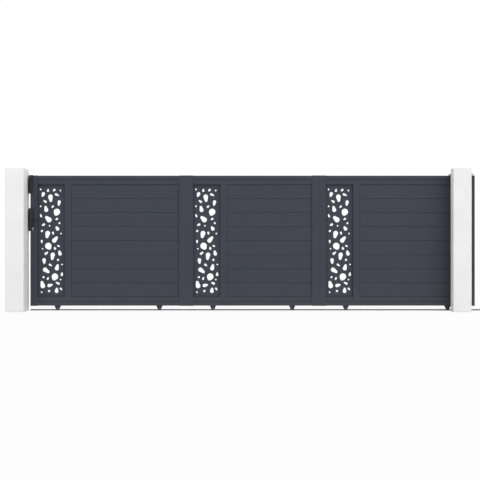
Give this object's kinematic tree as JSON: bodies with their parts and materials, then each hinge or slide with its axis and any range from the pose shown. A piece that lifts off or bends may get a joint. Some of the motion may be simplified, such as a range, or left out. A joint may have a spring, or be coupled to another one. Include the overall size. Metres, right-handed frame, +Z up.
{
  "type": "sliding driveway gate",
  "caption": "Sliding driveway gate: anthracite aluminium leaf with horizontal slats and pierced panels, on a ground rail between two rendered pillars.",
  "frame": {"origin": "centre of the left pillar's foot, at ground level", "axes": "+X along the gate to the side it opens to, +Y away from the street, +Z up"},
  "size_m": [9.2235, 0.327, 1.51],
  "materials": {
    "pillar_render": "matte",
    "powder_coat": "satin",
    "rail_steel": "satin",
    "bracket_steel": "satin",
    "roller_nylon": "matte",
    "zinc_steel": "satin",
    "wheel_steel": "satin",
    "lock_black": "satin",
    "cylinder_brass": "satin"
  },
  "bodies": {
    "root": {"left_pillar": "pillar_render", "right_pillar": "pillar_render", "rail_section_1": "rail_steel", "rail_section_2": "rail_steel", "rail_section_3": "rail_steel", "closing_receiver": "bracket_steel", "lock_keeper": "bracket_steel", "guide_bracket": "bracket_steel", "guide_plate": "bracket_steel", "guide_rollers": "roller_nylon", "guide_roller_bolts": "zinc_steel"},
    "leaf": {"stile_left_1": "powder_coat", "stile_middle_1": "powder_coat", "stile_right_1": "powder_coat", "top_rail_1": "powder_coat", "bottom_rail_1": "powder_coat", "pierced_panel_1": "powder_coat", "slats_1": "powder_coat", "stile_left_2": "powder_coat", "stile_middle_2": "powder_coat", "stile_right_2": "powder_coat", "top_rail_2": "powder_coat", "bottom_rail_2": "powder_coat", "pierced_panel_2": "powder_coat", "slats_2": "powder_coat", "stile_left_3": "powder_coat", "stile_middle_3": "powder_coat", "stile_right_3": "powder_coat", "top_rail_3": "powder_coat", "bottom_rail_3": "powder_coat", "pierced_panel_3": "powder_coat", "slats_3": "powder_coat", "stile_caps": "roller_nylon", "wheel_forks": "zinc_steel", "wheel_axles": "zinc_steel", "lock_case": "zinc_steel", "lock_plates": "lock_black", "lock_cylinder": "cylinder_brass"},
    "wheel_1": {"wheel_1": "wheel_steel"},
    "wheel_2": {"wheel_2": "wheel_steel"},
    "wheel_3": {"wheel_3": "wheel_steel"},
    "wheel_4": {"wheel_4": "wheel_steel"},
    "wheel_5": {"wheel_5": "wheel_steel"},
    "wheel_6": {"wheel_6": "wheel_steel"},
    "lever": {"lock_lever": "lock_black"}
  },
  "joints": [
    {"name": "leaf_slide", "type": "slide", "parent": "root", "child": "leaf", "axis": [1, 0, 0], "range_m": [0, 4.3]},
    {"name": "wheel_1_turn", "type": "hinge", "parent": "leaf", "child": "wheel_1", "pos_m": [0.4152, 0.09, 0.034], "axis": [0, 1, 0], "continuous": true},
    {"name": "wheel_2_turn", "type": "hinge", "parent": "leaf", "child": "wheel_2", "pos_m": [1.5032, 0.09, 0.034], "axis": [0, 1, 0], "continuous": true},
    {"name": "wheel_3_turn", "type": "hinge", "parent": "leaf", "child": "wheel_3", "pos_m": [2.0752, 0.09, 0.034], "axis": [0, 1, 0], "continuous": true},
    {"name": "wheel_4_turn", "type": "hinge", "parent": "leaf", "child": "wheel_4", "pos_m": [2.9212, 0.09, 0.034], "axis": [0, 1, 0], "continuous": true},
    {"name": "wheel_5_turn", "type": "hinge", "parent": "leaf", "child": "wheel_5", "pos_m": [3.4932, 0.09, 0.034], "axis": [0, 1, 0], "continuous": true},
    {"name": "wheel_6_turn", "type": "hinge", "parent": "leaf", "child": "wheel_6", "pos_m": [4.5812, 0.09, 0.034], "axis": [0, 1, 0], "continuous": true},
    {"name": "lever_turn", "type": "hinge", "parent": "leaf", "child": "lever", "pos_m": [0.1562, 0.09, 0.969], "axis": [0, 1, 0], "range_deg": [0, 45], "stiffness_Nm_per_rad": 1.2, "springref_deg": -34.38}
  ],
  "couplings": [
    {"joint": "wheel_1_turn", "follows": "leaf_slide", "rad_per_m": 52.632},
    {"joint": "wheel_2_turn", "follows": "leaf_slide", "rad_per_m": 52.632},
    {"joint": "wheel_3_turn", "follows": "leaf_slide", "rad_per_m": 52.632},
    {"joint": "wheel_4_turn", "follows": "leaf_slide", "rad_per_m": 52.632},
    {"joint": "wheel_5_turn", "follows": "leaf_slide", "rad_per_m": 52.632},
    {"joint": "wheel_6_turn", "follows": "leaf_slide", "rad_per_m": 52.632}
  ]
}
